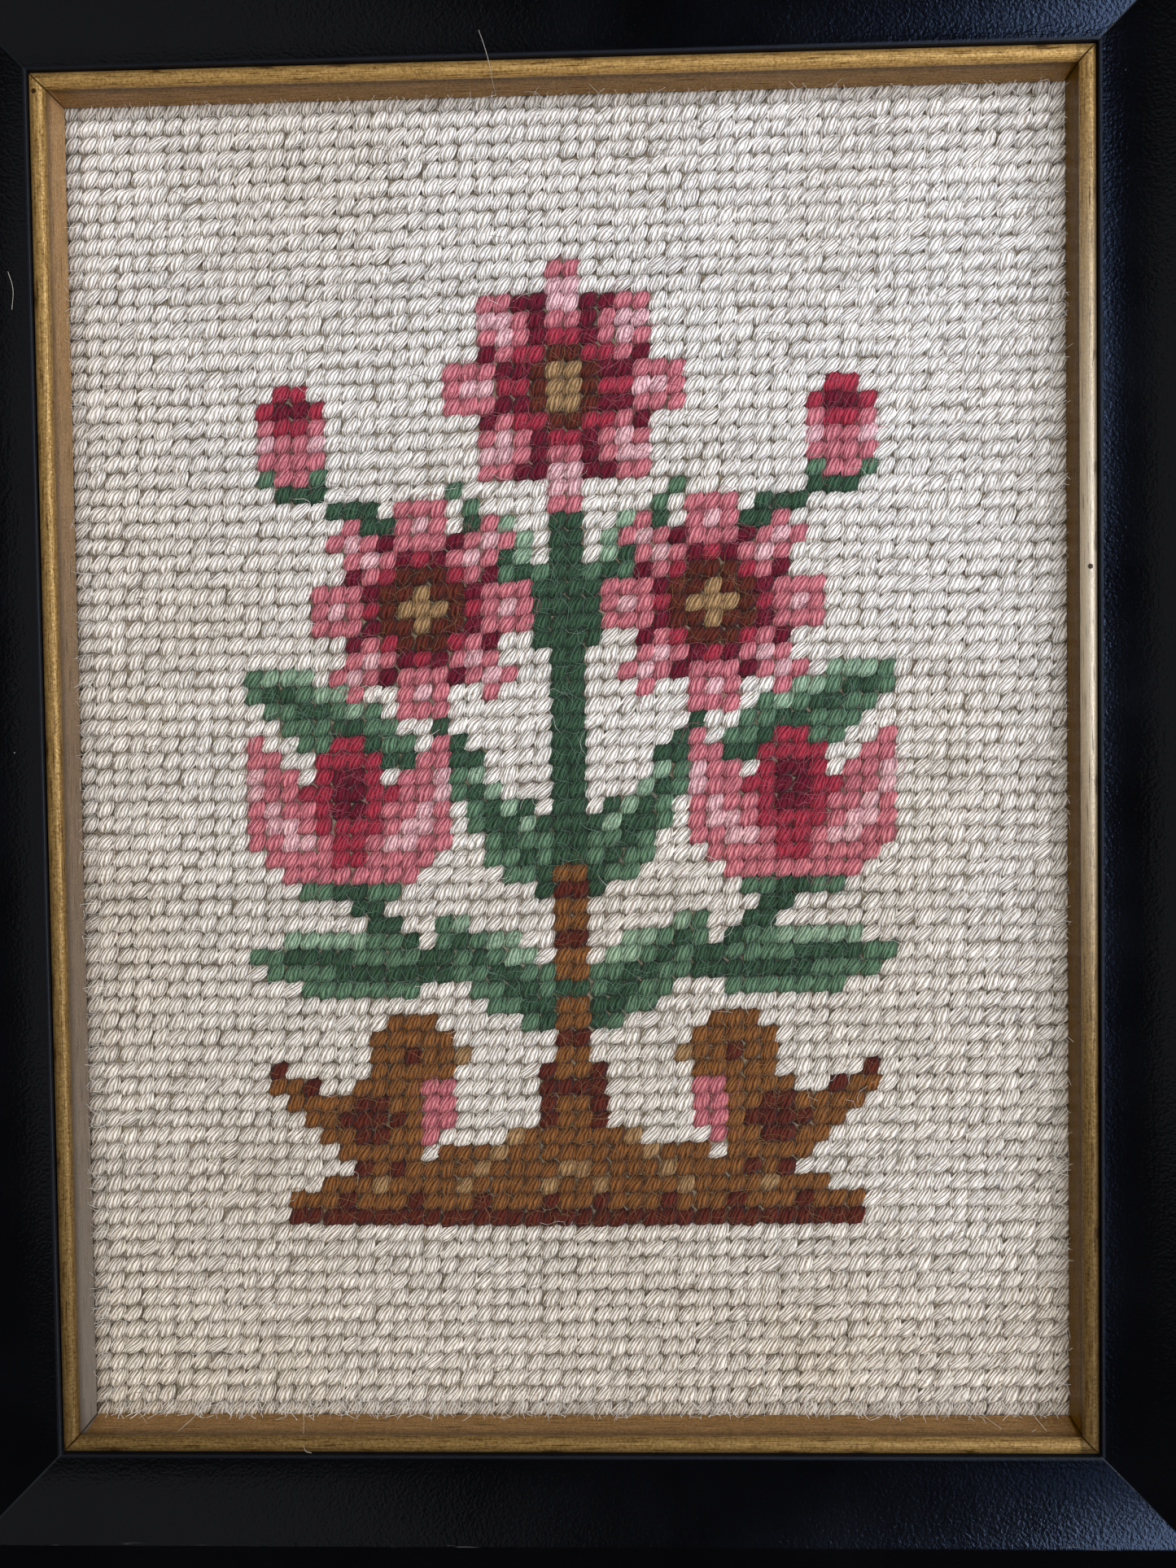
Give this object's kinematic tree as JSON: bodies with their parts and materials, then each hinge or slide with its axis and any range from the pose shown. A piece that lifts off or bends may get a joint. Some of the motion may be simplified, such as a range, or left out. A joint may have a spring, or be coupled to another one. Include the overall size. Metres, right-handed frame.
{
  "type": "needlepoint in a wooden frame with a gilt inner slip",
  "caption": "Wool needlepoint of a flowering tree with birds on a cream ground, stretched over a board in a black mitred wood frame with a gilt inner slip.",
  "frame": {"origin": "middle of the back of the frame, on the surface that it lies on", "axes": "+Z out of the face of the needlework, +Y towards the top of the picture, +X to its right"},
  "size_m": [0.1882, 0.2374, 0.02],
  "materials": {
    "black_lacquered_wood": "black lacquer on wood, satin, lightly worn along the rim",
    "gilt_wood": "gold paint on wood, satin, rubbed on the bead",
    "wool_on_canvas": "wool tent stitch on cotton canvas, cream ground with pinks, greens and browns",
    "grey_board": "plain grey-brown pressed board"
  },
  "bodies": {
    "root": {"rail_top": "black_lacquered_wood", "rail_bottom": "black_lacquered_wood", "rail_left": "black_lacquered_wood", "rail_right": "black_lacquered_wood", "slip_top": "gilt_wood", "slip_bottom": "gilt_wood", "slip_left": "gilt_wood", "slip_right": "gilt_wood", "needlework": "wool_on_canvas", "backing_board": "grey_board"}
  },
  "joints": []
}
